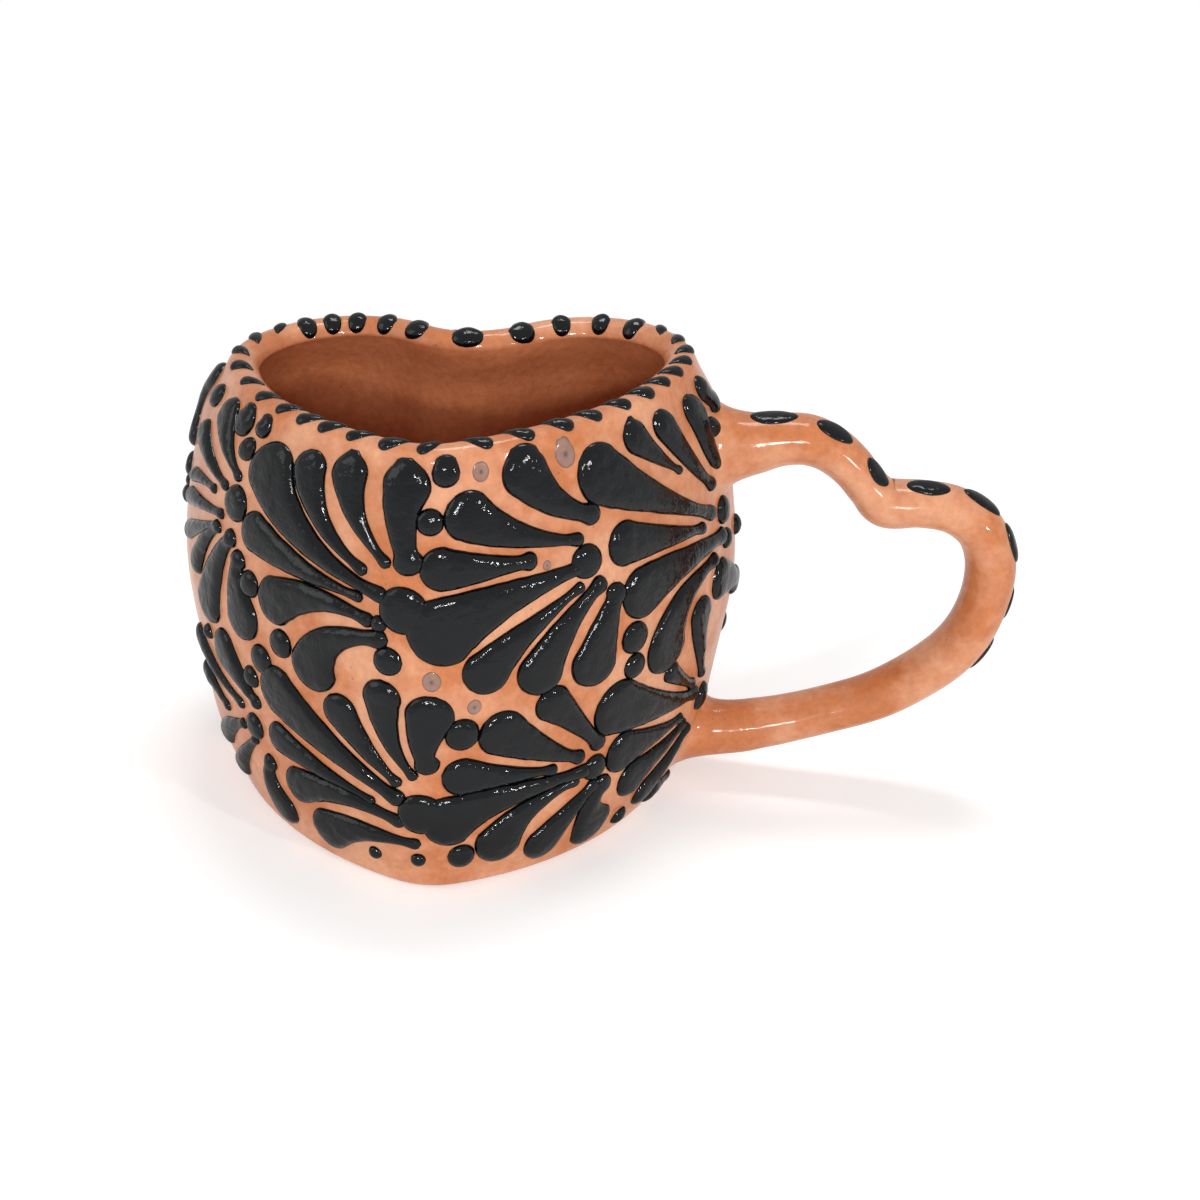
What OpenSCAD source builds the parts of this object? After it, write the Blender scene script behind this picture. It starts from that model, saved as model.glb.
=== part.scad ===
// Heart-shaped clay mug with a heart-shaped loop handle, decorated all over
// with raised black slip: feather strokes, dots and rim dashes.
// Origin: middle of the foot, on the table. +X: handle. -Y: tip of the heart. +Z: up.

/* [Body] */
// Width of the body at its belly
body_w = 108; // [96:1:124]
// Height of the wall, from the table to the start of the lip
body_h = 84; // [74:1:100]
// Radius of each back lobe of the heart at the belly
lobe_r = 27.2; // [25:0.1:29]
// Distance from the centre of the tip's arc back to the centres of the lobes
lobe_back = 41.5; // [38:0.1:45]
// Radius of the tip of the heart at the belly
tip_r = 18.7; // [17:0.1:21]
// Radius of the long arc between the tip and a lobe
flank_r = 78; // [70:1:95]
// Radius of the cleft between the lobes
cleft_r = 15; // [12:0.1:18]
// Thickness of the wall
wall_t = 5.4; // [4:0.1:6.4]
// Thickness of the floor
floor_t = 6.5; // [5:0.1:10]
// Radius of the corner between the inner wall and the floor
floor_r = 5; // [3:0.1:6]
// Radius of the rounded edge under the foot
foot_r = 1.6; // [1:0.1:3]
// Height that the rim gains from its middle to the handle side
rim_rise = 2.5; // [0:0.1:4]

/* [Lip] */
// Radius of the rolled lip
lip_r = 3.1; // [2.6:0.1:3.6]
// Angle from level at which the lip's roll leaves the wall
lip_lean = 22; // [15:1:30]
// Height of the straight collar between the wall and the lip's roll
lip_rise = 0.6; // [0:0.1:2]

/* [Handle] */
// Reach of the handle's loop past the belly
handle_out = 53.6; // [46:0.1:62]
// Thickness of the handle in the plane of its loop
handle_t = 9.6; // [8.4:0.1:11]
// Depth of the handle across its loop
handle_d = 11.2; // [9.5:0.1:13]
// Place of the handle's plane behind the middle of the foot
handle_back = 14; // [11:0.1:16]

/* [Slip] */
// Height of a trailed bead of black slip
bead_h = 1.1; // [0.7:0.1:1.5]
// Height of a rim dash
dash_h = 0.8; // [0.5:0.1:1.2]
// Thickness of a thin washed spot
wash_h = 0.3; // [0.2:0.05:0.5]
// Thickness of the joining slip under a handle root
luting_t = 0.6; // [0.4:0.1:1]
// Width of the joining slip that shows around a handle root
luting_rim = 0.8; // [0.4:0.1:1.2]
// Dashes around the rim
dash_count = 34; // [24:1:40]

/* [Hidden] */

clay = "#d98f63";
slip_black = "#17181a";
slip_brown = "#7a4f3c";

// Clearance under the beads of slip, which keeps them off the facets of the wall
bead_gap = 0.35;
// Clearance on each side of the joining slip
luting_gap = 0.15;

handle_sides = 12;
dot_sides = 8;
// Steps of the body's rings along each arc of the half outline
arc_steps = [3, 9, 15, 4];

// Shares of the belly's outline at shares of the wall's height: foot, belly, shoulder
level_shares = [0, 0.12, 0.3, 0.5, 0.7, 0.88, 1];
girth_shares = [0.79, 0.905, 0.96, 1, 0.972, 0.908, 0.81];
// Heights of the wall's rings as shares of its height, outside and inside
outer_shares = [0.06, 0.12, 0.2, 0.31, 0.43, 0.55, 0.67, 0.78, 0.88, 0.95];
inner_shares = [0.93, 0.8, 0.63, 0.46, 0.29];

// Plain helpers
function ray(a) = [cos(a), sin(a)];
function heading(v) = atan2(v[1], v[0]);
function unit(v) = v / norm(v);
function total(list, n) = n <= 0 ? 0 : list[n - 1] + total(list, n - 1);
function wrapped(u) = u > 1 ? u - 2 : u < -1 ? u + 2 : u;

// Right half of the heart at the belly, as four tangent arcs from tip to cleft
lobe_c = [body_w / 2 - lobe_r, lobe_back];
cleft_c = [0, lobe_back + sqrt(pow(lobe_r + cleft_r, 2) - pow(lobe_c[0], 2))];
near_d = flank_r - tip_r;
far_d = flank_r - lobe_r;
span_d = norm(lobe_c);
along_d = (near_d * near_d - far_d * far_d + span_d * span_d) / (2 * span_d);
across_d = sqrt(near_d * near_d - along_d * along_d);
flank_c = (along_d * lobe_c + across_d * [-lobe_c[1], lobe_c[0]]) / span_d;
// Each arc: centre, radius, first angle, last angle, and 1 where it bulges outwards
arcs = [
    [[0, 0], tip_r, -90, heading(-flank_c), 1],
    [flank_c, flank_r, heading(-flank_c), heading(lobe_c - flank_c), 1],
    [lobe_c, lobe_r, heading(lobe_c - flank_c), heading(cleft_c - lobe_c), 1],
    [cleft_c, cleft_r, heading(lobe_c - cleft_c), -90, -1]
];
arc_lengths = [for (a = arcs) a[1] * abs(a[3] - a[2]) * PI / 180];
half_length = total(arc_lengths, len(arcs));
right_us = [for (i = [0:len(arcs) - 1], j = [0:arc_steps[i] - 1])
    (total(arc_lengths, i) + arc_lengths[i] * j / arc_steps[i]) / half_length];
// Places of the body's rings, once round the outline from the tip
ring_us = [each right_us, -1, for (i = [len(right_us) - 1:-1:1]) -right_us[i]];
around = len(ring_us);
// The foot's depth is centred on the origin
axis_y = -girth_shares[0] * (lobe_back + lobe_r - tip_r) / 2;

function arc_hit(s, i = 0) =
    i == len(arcs) - 1 || s <= arc_lengths[i] ? [i, s / arc_lengths[i]] : arc_hit(s - arc_lengths[i], i + 1);

// Arc, angle and side at a share u of half the outline, from the tip (0) to the cleft (1 or -1)
function outline_at(u) =
    let (w = wrapped(u), hit = arc_hit(abs(w) * half_length), a = arcs[hit[0]])
    [a[0], a[1], a[2] + (a[3] - a[2]) * hit[1], a[4], w < 0 ? -1 : 1];

function outline_point(u, scale_to, inset) =
    let (o = outline_at(u), p = o[0] * scale_to + (o[1] * scale_to - o[3] * inset) * ray(o[2]))
    [o[4] * p[0], p[1] + axis_y];

function outline_normal(u) = let (o = outline_at(u), n = o[3] * ray(o[2])) [o[4] * n[0], n[1]];

// Girth of the wall at a share h of its height: a smooth curve through the girth shares
last_level = len(level_shares) - 1;
function secant(i) =
    (girth_shares[i + 1] - girth_shares[i]) / (level_shares[i + 1] - level_shares[i]);
function slope_at(i) =
    i == 0 ? secant(0)
    : i == last_level ? secant(last_level - 1)
    : (girth_shares[i + 1] - girth_shares[i - 1]) / (level_shares[i + 1] - level_shares[i - 1]);
function level_below(h, i = 0) = i >= last_level - 1 || h <= level_shares[i + 1] ? i : level_below(h, i + 1);
function girth(h) =
    let (
        i = level_below(h),
        step = level_shares[i + 1] - level_shares[i],
        t = (h - level_shares[i]) / step
    )
    girth_shares[i] * (1 + 2 * t) * pow(1 - t, 2)
    + slope_at(i) * step * t * pow(1 - t, 2)
    + girth_shares[i + 1] * t * t * (3 - 2 * t)
    + slope_at(i + 1) * step * t * t * (t - 1);

function rise(u, h) = rim_rise * pow(h, 3) * 2 * outline_point(u, 1, 0)[0] / body_w;

function wall_point(u, h, inset) =
    let (p = outline_point(u, girth(h), inset)) [p[0], p[1], body_h * h + rise(u, h)];

// Point of the rolled lip at angle a from level, with a lift off its skin
function lip_point(u, a, lift) =
    let (
        r = lip_r + lift,
        p = outline_point(u, girth(1), lip_rise * tan(lip_lean) + lip_r * cos(lip_lean) - r * cos(a))
    )
    [p[0], p[1], body_h + lip_rise - lip_r * sin(lip_lean) + r * sin(a) + rise(u, 1)];

// Skin of the body on a chart: u along the outline, v up the wall and on over the lip,
// and lift off the skin
slope_d = 0.01;
function skin_point(u, v, lift) =
    v > 1 ? lip_point(u, lip_lean + (v - 1) * body_h / lip_r * 180 / PI, lift)
    : let (
        n = outline_normal(u),
        widening = (girth(v + slope_d) - girth(v - slope_d)) / (2 * slope_d * body_h),
        out = outline_point(u, 1, 0) - [0, axis_y],
        n3 = unit([n[0], n[1], -(out * n) * widening])
    )
    wall_point(u, v, 0) + lift * n3;

// A step on the chart from p by d, in length units along and up the skin
function chart_step(p, d) = [p[0] + d[0] / (half_length * girth(min(p[1], 1))), p[1] + d[1] / body_h];

// Faces of a closed tube of rings, with fans over its two ends
function tube_faces(rings, sides, first = 0) = [
    for (i = [0:rings - 2], j = [0:sides - 1]) each
        let (a = first + i * sides + j, b = first + i * sides + (j + 1) % sides)
        [[a, b, b + sides], [a, b + sides, a + sides]],
    for (j = [1:sides - 2]) [first, first + j + 1, first + j],
    for (j = [1:sides - 2]) [first, first + j, first + j + 1] + [1, 1, 1] * (rings - 1) * sides
];

// Centreline of a stroke: a curve through its head, middle and tail
function stroke_place(r, t) =
    let (a = (1 - t) * (1 - 2 * t), b = 4 * t * (1 - t), c = t * (2 * t - 1))
    [a * r[0] + b * r[2] + c * r[4], a * r[1] + b * r[3] + c * r[5]];
function stroke_heading(r, t) =
    let (a = 4 * t - 3, b = 4 - 8 * t, c = 4 * t - 1, p = stroke_place(r, t))
    unit([
        (a * r[0] + b * r[2] + c * r[4]) * half_length * girth(min(p[1], 1)),
        (a * r[1] + b * r[3] + c * r[5]) * body_h
    ]);
function stroke_radius(r, t) = body_h / 2 * (r[7] + (r[6] - r[7]) * (1 + cos(180 * t)) / 2);

// Stations of a stroke: place along it, setback ahead of the place, width and height
bead_shares = [[0, 0.94, 0.4, 0.6], [0, 0.5, 0.87, 1], [0.12, 0, 1, 1], [0.4, 0, 1, 1], [0.7, 0, 1, 1],
    [1, 0, 1, 0.7]];
dash_shares = [[0, 0.7, 0.5, 0.6], [0.12, 0, 1, 1], [0.4, 0, 1, 1], [0.7, 0, 1, 1], [1, 0, 0.7, 0.5]];
// Cross-section of a bead: place across it as a share of its radius, and 1 on its crown
bead_section_shares = [[-1, 0], [0, 0], [1, 0], [0.6, 1], [-0.6, 1]];
dash_section_shares = [[-1, 0], [1, 0], [0.6, 1], [-0.6, 1]];
// Radius at which a bead reaches its full height, as a share of that height
full_share = 1.6;

function bead_points(r, stations, section, height) = [
    for (s = stations)
        let (
            radius = stroke_radius(r, s[0]),
            d = stroke_heading(r, s[0]),
            mid = chart_step(stroke_place(r, s[0]), -s[1] * radius * d),
            top = height * s[3] * min(1, radius / (full_share * height))
        )
        for (q = section)
            let (p = chart_step(mid, q[0] * s[2] * radius * [d[1], -d[0]]))
            skin_point(p[0], p[1], bead_gap + q[1] * top)
];

// A group of strokes, each a solid of its own
module beads(rows, stations, section, height) {
    count = len(stations) * len(section);
    polyhedron(
        points = [for (r = rows) each bead_points(r, stations, section, height)],
        faces = [for (i = [0:len(rows) - 1]) each tube_faces(len(stations), len(section), i * count)]
    );
}

// A group of round drops, each a low dome
dome_shares = [[1, 0], [0.62, 1]];
module drops(rows, height) {
    count = len(dome_shares) * dot_sides;
    polyhedron(
        points = [
            for (r = rows, ring = dome_shares, j = [0:dot_sides - 1])
                let (
                    radius = r[2] / 2 * body_h,
                    p = chart_step([r[0], r[1]], ring[0] * radius * ray(-360 * j / dot_sides)),
                    top = min(height, radius / full_share)
                )
                skin_point(p[0], p[1], bead_gap + ring[1] * top)
        ],
        faces = [for (i = [0:len(rows) - 1]) each tube_faces(len(dome_shares), dot_sides, i * count)]
    );
}

// Strokes on the chart: head u and v, middle u and v, tail u and v, and the widths of
// head and tail as shares of the wall's height
left_fan_shares = [
    [-0.392, 0.955, -0.350, 0.895, -0.318, 0.858, 0.080, 0.020],
    [-0.450, 0.855, -0.395, 0.832, -0.340, 0.808, 0.072, 0.020],
    [-0.455, 0.748, -0.410, 0.765, -0.365, 0.777, 0.035, 0.016],
    [-0.465, 0.690, -0.405, 0.715, -0.345, 0.737, 0.045, 0.020],
    [-0.472, 0.612, -0.414, 0.653, -0.370, 0.690, 0.048, 0.018],
    [-0.415, 0.550, -0.378, 0.630, -0.340, 0.698, 0.066, 0.022],
    [-0.356, 0.500, -0.338, 0.610, -0.308, 0.692, 0.110, 0.034],
    [-0.274, 0.530, -0.293, 0.600, -0.290, 0.655, 0.105, 0.040]
];
upper_fan_shares = [
    [-0.232, 0.898, -0.164, 0.794, -0.070, 0.730, 0.126, 0.024],
    [-0.252, 0.742, -0.165, 0.722, -0.088, 0.704, 0.078, 0.018],
    [-0.173, 0.942, -0.140, 0.850, -0.083, 0.770, 0.080, 0.022],
    [-0.111, 0.955, -0.092, 0.870, -0.052, 0.797, 0.082, 0.022],
    [-0.037, 0.943, -0.038, 0.870, -0.022, 0.807, 0.084, 0.044],
    [-0.205, 0.608, -0.140, 0.652, -0.084, 0.645, 0.100, 0.022],
    [-0.142, 0.508, -0.118, 0.582, -0.064, 0.612, 0.118, 0.030]
];
right_fan_shares = [
    [0.050, 0.893, 0.112, 0.842, 0.178, 0.806, 0.096, 0.022],
    [0.022, 0.792, 0.070, 0.786, 0.116, 0.783, 0.084, 0.028],
    [0.126, 0.950, 0.156, 0.893, 0.195, 0.852, 0.094, 0.030],
    [0.240, 0.913, 0.312, 0.827, 0.415, 0.735, 0.122, 0.024],
    [0.262, 0.757, 0.330, 0.734, 0.396, 0.706, 0.090, 0.020],
    [0.308, 0.962, 0.338, 0.918, 0.367, 0.888, 0.054, 0.015],
    [0.382, 0.943, 0.403, 0.868, 0.427, 0.797, 0.064, 0.022],
    [0.440, 0.938, 0.437, 0.872, 0.445, 0.820, 0.070, 0.034]
];
heart_wing_shares = [
    [0.020, 0.655, 0.090, 0.702, 0.170, 0.727, 0.140, 0.022],
    [0.046, 0.193, 0.105, 0.228, 0.194, 0.242, 0.108, 0.024]
];
right_feather_shares = [
    [0.069, 0.551, 0.118, 0.630, 0.178, 0.690, 0.096, 0.018],
    [0.138, 0.532, 0.168, 0.615, 0.206, 0.678, 0.098, 0.026],
    [0.207, 0.518, 0.223, 0.592, 0.232, 0.640, 0.110, 0.042],
    [0.280, 0.636, 0.360, 0.656, 0.452, 0.648, 0.110, 0.026],
    [0.327, 0.492, 0.352, 0.573, 0.418, 0.600, 0.114, 0.026],
    [0.400, 0.505, 0.413, 0.420, 0.440, 0.330, 0.078, 0.020],
    [0.354, 0.402, 0.382, 0.358, 0.412, 0.322, 0.042, 0.020],
    [0.460, 0.545, 0.478, 0.522, 0.496, 0.500, 0.080, 0.056]
];
lower_left_shares = [
    [-0.320, 0.403, -0.287, 0.362, -0.262, 0.332, 0.092, 0.024],
    [-0.440, 0.330, -0.385, 0.312, -0.318, 0.292, 0.056, 0.020],
    [-0.213, 0.275, -0.140, 0.252, -0.074, 0.226, 0.064, 0.015],
    [-0.185, 0.170, -0.112, 0.199, -0.048, 0.187, 0.074, 0.022],
    [-0.140, 0.088, -0.080, 0.122, -0.020, 0.128, 0.096, 0.020],
    [-0.238, 0.085, -0.250, 0.140, -0.246, 0.182, 0.088, 0.034],
    [-0.345, 0.095, -0.312, 0.155, -0.285, 0.208, 0.054, 0.020],
    [-0.380, 0.165, -0.345, 0.202, -0.310, 0.235, 0.050, 0.020],
    [-0.435, 0.245, -0.395, 0.252, -0.350, 0.252, 0.044, 0.020]
];
lower_fan_shares = [
    [-0.202, 0.386, -0.122, 0.314, -0.044, 0.254, 0.116, 0.028],
    [-0.105, 0.417, -0.073, 0.350, -0.038, 0.296, 0.082, 0.022],
    [-0.053, 0.483, -0.042, 0.395, -0.017, 0.315, 0.082, 0.018],
    [0.002, 0.455, -0.003, 0.398, 0.001, 0.350, 0.086, 0.034],
    [0.045, 0.310, 0.100, 0.298, 0.154, 0.288, 0.082, 0.020],
    [0.092, 0.402, 0.145, 0.340, 0.190, 0.303, 0.098, 0.024],
    [0.159, 0.432, 0.187, 0.382, 0.219, 0.322, 0.076, 0.028]
];
lower_right_shares = [
    [0.250, 0.378, 0.335, 0.325, 0.420, 0.288, 0.124, 0.024],
    [0.278, 0.245, 0.330, 0.243, 0.388, 0.236, 0.090, 0.018],
    [0.303, 0.155, 0.350, 0.182, 0.406, 0.207, 0.076, 0.018],
    [0.102, 0.113, 0.142, 0.174, 0.188, 0.204, 0.094, 0.020],
    [0.168, 0.083, 0.194, 0.146, 0.220, 0.188, 0.086, 0.024],
    [0.250, 0.078, 0.238, 0.135, 0.250, 0.180, 0.090, 0.034],
    [0.352, 0.082, 0.392, 0.127, 0.430, 0.166, 0.064, 0.020]
];
// Drops on the chart: u and v, and the width as a share of the wall's height
dot_shares = [
    [-0.338, 0.970, 0.056], [-0.290, 0.980, 0.040], [-0.298, 0.922, 0.044], [-0.300, 0.787, 0.080],
    [-0.462, 0.955, 0.058], [-0.250, 0.634, 0.046], [-0.240, 0.462, 0.056], [-0.196, 0.518, 0.058],
    [-0.256, 0.402, 0.040], [-0.375, 0.405, 0.034], [-0.272, 0.256, 0.058], [-0.054, 0.655, 0.024],
    [-0.040, 0.568, 0.056], [-0.039, 0.706, 0.072], [0.026, 0.978, 0.046], [0.004, 0.885, 0.046],
    [0.198, 0.755, 0.068], [0.266, 0.540, 0.066], [0.269, 0.462, 0.052], [0.474, 0.606, 0.034],
    [0.045, 0.412, 0.064], [-0.016, 0.212, 0.074], [0.226, 0.240, 0.050], [-0.070, 0.070, 0.030],
    [-0.008, 0.080, 0.032], [0.048, 0.090, 0.050], [0.318, 0.048, 0.036]
];
washed_shares = [[0.009, 0.537, 0.036], [0.055, 0.477, 0.032], [0.068, 0.975, 0.036],
    [0.184, 0.972, 0.044], [0.144, 0.758, 0.018]];

// The back repeats the front's strokes, turned half way round the outline, without
// those that would meet the handle's roots or the strokes that come round from the front
back_edge_share = 0.5;
root_edge_share = 0.66;
between_roots_shares = [0.27, 0.66];
function places(r) = len(r) == 3 ? [[r[0], r[1]]] : [[r[0], r[1]], [r[4], r[5]]];
function misses_roots(p) =
    let (u = wrapped(p[0] + 1))
    u < 0 || u > root_edge_share || (p[1] > between_roots_shares[0] && p[1] < between_roots_shares[1]);
function is_clear(r) =
    len([for (p = places(r)) if (abs(p[0]) >= 1 - back_edge_share || !misses_roots(p)) p]) == 0;
function turned(r) =
    len(r) == 3 ? [r[0] + 1, r[1], r[2]] : [r[0] + 1, r[1], r[2] + 1, r[3], r[4] + 1, r[5], r[6], r[7]];
function back_of(rows) = [for (r = rows) if (is_clear(r)) turned(r)];

module mug_body() {
    fillet_steps = [0, 30, 60, 90];
    lip_steps = [0, 36, 72, 108, 144, 180];
    foot_steps = [0, 45, 90];
    // Rings from the edge of the foot up the outside, over the lip, down the inside
    // and in over the floor
    rings = [
        for (a = foot_steps) [for (u = ring_us)
            let (
                z = foot_r * (1 - cos(a)),
                p = outline_point(u, girth(z / body_h), foot_r * (1 - sin(a)))
            )
            [p[0], p[1], z]],
        for (h = outer_shares) [for (u = ring_us) wall_point(u, h, 0)],
        for (a = lip_steps) [for (u = ring_us) lip_point(u, lip_lean + (180 - lip_lean) * a / 180, 0)],
        for (h = inner_shares) [for (u = ring_us) wall_point(u, h, wall_t)],
        for (a = fillet_steps) [for (u = ring_us)
            let (
                z = floor_t + floor_r * (1 - sin(a)),
                p = outline_point(u, girth(z / body_h), wall_t + floor_r * (1 - cos(a)))
            )
            [p[0], p[1], z]]
    ];
    count = len(rings) * around;
    middle = [0, 0, floor_t];
    last = count - around;
    color(clay) polyhedron(
        points = [for (r = rings) each r, middle],
        faces = [
            for (i = [0:len(rings) - 2], j = [0:around - 1]) each
                let (a = i * around + j, b = i * around + (j + 1) % around)
                [[a, b + around, b], [a, a + around, b + around]],
            [for (j = [0:around - 1]) j],
            for (j = [0:around - 1]) [last + (j + 1) % around, last + j, count]
        ]
    );
}

// Centreline of the handle's loop, from the upper root to the lower one: place out from
// the belly as a share of the loop's reach, height as a share of the wall's height, and
// thickness as a share of the handle's
handle_shares = [
    [-0.02, 0.845, 1.42], [0.06, 0.859, 1.16], [0.14, 0.869, 1.02], [0.23, 0.871, 0.98],
    [0.32, 0.853, 0.93], [0.405, 0.816, 0.88], [0.482, 0.766, 0.86], [0.556, 0.731, 0.98],
    [0.69, 0.733, 0.93], [0.82, 0.724, 0.94], [0.93, 0.683, 0.98], [0.988, 0.615, 1.00],
    [0.997, 0.535, 1.00], [0.965, 0.446, 1.00], [0.895, 0.369, 1.01], [0.772, 0.298, 0.99],
    [0.617, 0.236, 0.98], [0.449, 0.193, 0.97], [0.247, 0.152, 0.99], [0.10, 0.128, 1.06],
    [-0.03, 0.100, 1.20]
];
loop_out = handle_out - handle_t / 2;
function loop_knot(i) =
    let (s = handle_shares[max(0, min(len(handle_shares) - 1, i))])
    [body_w / 2 + s[0] * loop_out, s[1] * body_h, s[2]];
// Smooth curve through the knots
function loop_at(t) =
    let (i = floor(t), f = t - i, a = loop_knot(i - 1), b = loop_knot(i), c = loop_knot(i + 1), d = loop_knot(i + 2))
    b + (f * (c - a) + f * f * (2 * a - 5 * b + 4 * c - d) + f * f * f * (3 * b - a - 3 * c + d)) / 2;
// Skin of the handle: t along the knots, a round the section from its outer edge
function handle_point(t, a, lift) =
    let (
        p = loop_at(t),
        before = loop_at(t - slope_d),
        after = loop_at(t + slope_d),
        d = unit([after[0] - before[0], after[1] - before[1]]),
        swell = handle_t / 2 * p[2] + lift,
        depth = handle_d / 2 * (1 + (p[2] - 1) / 2) + lift
    )
    [p[0] - d[1] * swell * cos(a), handle_back + depth * sin(a), p[1] + d[0] * swell * cos(a)];

// Place on the wall's handle side at height z and place y, with a lift
function level_of(z, guess) = (z - rim_rise * pow(guess, 3)) / body_h;
function wall_out(y, z, lift) =
    let (
        g = girth(level_of(z, level_of(z, z / body_h))),
        from_axis = y - axis_y,
        joint = (lobe_c + lobe_r * ray(arcs[2][2])) * g,
        c = (from_axis > joint[1] ? lobe_c : flank_c) * g,
        r = (from_axis > joint[1] ? lobe_r : flank_r) * g + lift
    )
    [c[0] + sqrt(r * r - pow(from_axis - c[1], 2)), y, z];

// Ring on the wall round a handle root, shrunk to a share of itself, grown by a rim
function root_ring(t, share, rim, lift) =
    let (p = loop_at(t), centre = [handle_back, p[1]])
    [for (j = [0:handle_sides - 1])
        let (
            q = handle_point(t, 360 * j / handle_sides, rim),
            y = centre[0] + share * (q[1] - centre[0]),
            z = centre[1] + share * (q[2] - centre[1])
        )
        wall_out(y, z, lift)];

upper_root = 0;
lower_root = len(handle_shares) - 1;
handle_lift = luting_t + 2 * luting_gap;
root_share = 0.5;
centre_share = 0.05;

module handle() {
    rings = [
        root_ring(upper_root, centre_share, 0, handle_lift),
        root_ring(upper_root, root_share, 0, handle_lift),
        root_ring(upper_root, 1, 0, handle_lift),
        for (t = [1:0.5:lower_root - 1])
            [for (j = [0:handle_sides - 1]) handle_point(t, 360 * j / handle_sides, 0)],
        root_ring(lower_root, 1, 0, handle_lift),
        root_ring(lower_root, root_share, 0, handle_lift),
        root_ring(lower_root, centre_share, 0, handle_lift)
    ];
    color(clay) polyhedron(
        points = [for (r = rings) each r],
        faces = tube_faces(len(rings), handle_sides)
    );
}

// Pad of joining slip between the wall and a handle root
module luting_slip(root) {
    turn = root == upper_root ? 1 : -1;
    lifts = [luting_gap, luting_gap + luting_t];
    rings = [
        root_ring(root, centre_share, luting_rim, lifts[0]),
        root_ring(root, root_share, luting_rim, lifts[0]),
        root_ring(root, 1, luting_rim, lifts[0]),
        root_ring(root, 1, luting_rim / 2, lifts[1]),
        root_ring(root, root_share, luting_rim / 2, lifts[1]),
        root_ring(root, centre_share, luting_rim / 2, lifts[1])
    ];
    ordered = turn > 0 ? rings : [for (i = [len(rings) - 1:-1:0]) rings[i]];
    color(clay) polyhedron(
        points = [for (r = ordered) each r],
        faces = tube_faces(len(rings), handle_sides)
    );
}

module upper_luting_slip() {
    luting_slip(upper_root);
}

module lower_luting_slip() {
    luting_slip(lower_root);
}

// Slanted dashes over the lip: start and end on the chart, widths of their two ends, lean
// as a share of their spacing, and the stretch of the rim where they lean back to the tip
dash_foot_share = 1.012;
dash_top_share = 1.062;
dash_width_shares = [0.034, 0.018];
dash_lean_share = 0.48;
lean_back_shares = [0.01, 0.68];
module rim_dashes() {
    pitch = 2 / dash_count;
    rows = [for (i = [0:dash_count - 1])
        let (
            u = i * pitch - 1,
            side = u > lean_back_shares[0] && u < lean_back_shares[1] ? -1 : 1,
            lean = side * dash_lean_share * pitch
        )
        [u - lean / 2, dash_foot_share, u, (dash_foot_share + dash_top_share) / 2, u + lean / 2, dash_top_share,
            dash_width_shares[0], dash_width_shares[1]]];
    color(slip_black) beads(rows, dash_shares, dash_section_shares, dash_h);
}

// Oval spots on the handle: place along the knots, angle round the section, length and
// width as shares of the handle's thickness
spot_shares = [[1.62, -8, 0.78, 0.42], [3.72, -22, 0.60, 0.42], [5.62, -28, 0.66, 0.48], [8.15, -16, 0.74, 0.46],
    [9.5, -4, 0.66, 0.46], [10.7, -10, 0.66, 0.44], [12.3, 4, 0.66, 0.44], [13.6, -10, 0.70, 0.44]];
spot_dome_shares = [[0.05, 0], [1, 0], [0.62, 1]];
module handle_spots() {
    count = len(spot_dome_shares) * dot_sides;
    color(slip_black) polyhedron(
        points = [
            for (s = spot_shares, ring = spot_dome_shares, j = [0:dot_sides - 1])
                let (
                    a = 360 * j / dot_sides,
                    knot = norm([for (k = [0, 1]) loop_at(s[0] + 1 / 2)[k] - loop_at(s[0] - 1 / 2)[k]]),
                    t = s[0] - ring[0] * s[2] / 2 * handle_t / knot * cos(a),
                    turn = s[1] + ring[0] * s[3] * sin(a) * 180 / PI
                )
                handle_point(t, turn, bead_gap + ring[1] * dash_h)
        ],
        faces = [for (i = [0:len(spot_shares) - 1]) each tube_faces(len(spot_dome_shares), dot_sides, i * count)]
    );
}

module feathers(rows) {
    color(slip_black) beads(rows, bead_shares, bead_section_shares, bead_h);
}

module left_fan() {
    feathers(left_fan_shares);
}

module upper_fan() {
    feathers(upper_fan_shares);
}

module right_fan() {
    feathers(right_fan_shares);
}

module heart_wings() {
    feathers(heart_wing_shares);
}

module right_feathers() {
    feathers(right_feather_shares);
}

module lower_left_feathers() {
    feathers(lower_left_shares);
}

module lower_fan() {
    feathers(lower_fan_shares);
}

module lower_right_feathers() {
    feathers(lower_right_shares);
}

module slip_dots() {
    color(slip_black) drops(dot_shares, bead_h);
}

module back_upper_feathers() {
    feathers(back_of(concat(left_fan_shares, upper_fan_shares, right_fan_shares, [heart_wing_shares[0]])));
}

module back_lower_feathers() {
    feathers(back_of(concat(right_feather_shares, lower_left_shares, lower_fan_shares, lower_right_shares,
        [heart_wing_shares[1]])));
}

module back_dots() {
    color(slip_black) drops(back_of(dot_shares), bead_h);
}

module washed_spots() {
    color(slip_brown) drops(concat(washed_shares, back_of(washed_shares)), wash_h);
}

mug_body();
handle();
upper_luting_slip();
lower_luting_slip();
rim_dashes();
handle_spots();
left_fan();
upper_fan();
right_fan();
heart_wings();
right_feathers();
lower_left_feathers();
lower_fan();
lower_right_feathers();
slip_dots();
back_upper_feathers();
back_lower_feathers();
back_dots();
washed_spots();
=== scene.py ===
# Heart-shaped glazed clay mug with raised black slip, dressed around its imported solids.
# Sizes are in millimetres and turned to metres where a mesh is made.
import math

import bmesh
import bpy
from mathutils import Matrix, Vector, noise


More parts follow.
